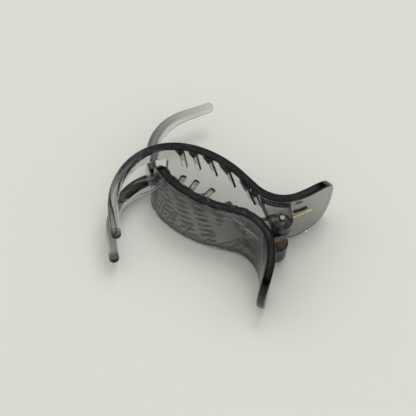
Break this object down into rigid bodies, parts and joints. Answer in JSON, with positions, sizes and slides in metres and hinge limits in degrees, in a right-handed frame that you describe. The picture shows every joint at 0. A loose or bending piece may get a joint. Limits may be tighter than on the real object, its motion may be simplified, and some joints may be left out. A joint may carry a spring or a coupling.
{
  "type": "ponytail clip",
  "caption": "Hair claw clip of two S-shaped smoky plastic shells with interlocking prongs, hinged on a sprung pin.",
  "frame": {"origin": "middle of the lowest face of the box, with the clip lying on its side", "axes": "+Z along the hinge pin, +X from the jaws to the thumb handles, +Y from the front shell to the back one"},
  "size_m": [0.0684, 0.0722, 0.0306],
  "materials": {
    "smoky_plastic": "clear moulded plastic with a smoky grey tint and polished faces",
    "pin_metal": "thin brassy plating on steel, lightly brushed",
    "spring_wire": "bright brown-gold spring wire"
  },
  "bodies": {
    "back": {"back_shell": "smoky_plastic", "hinge_pin": "pin_metal", "spring_coil": "spring_wire"},
    "front": {"front_shell": "smoky_plastic", "spring_leg": "spring_wire"}
  },
  "joints": [
    {"name": "hinge", "type": "hinge", "parent": "back", "child": "front", "pos_m": [0.0257, 0, 0.01528], "axis": [0, 0, 1], "range_deg": [0, 130], "stiffness_Nm_per_rad": 0.044, "springref_deg": -65}
  ]
}
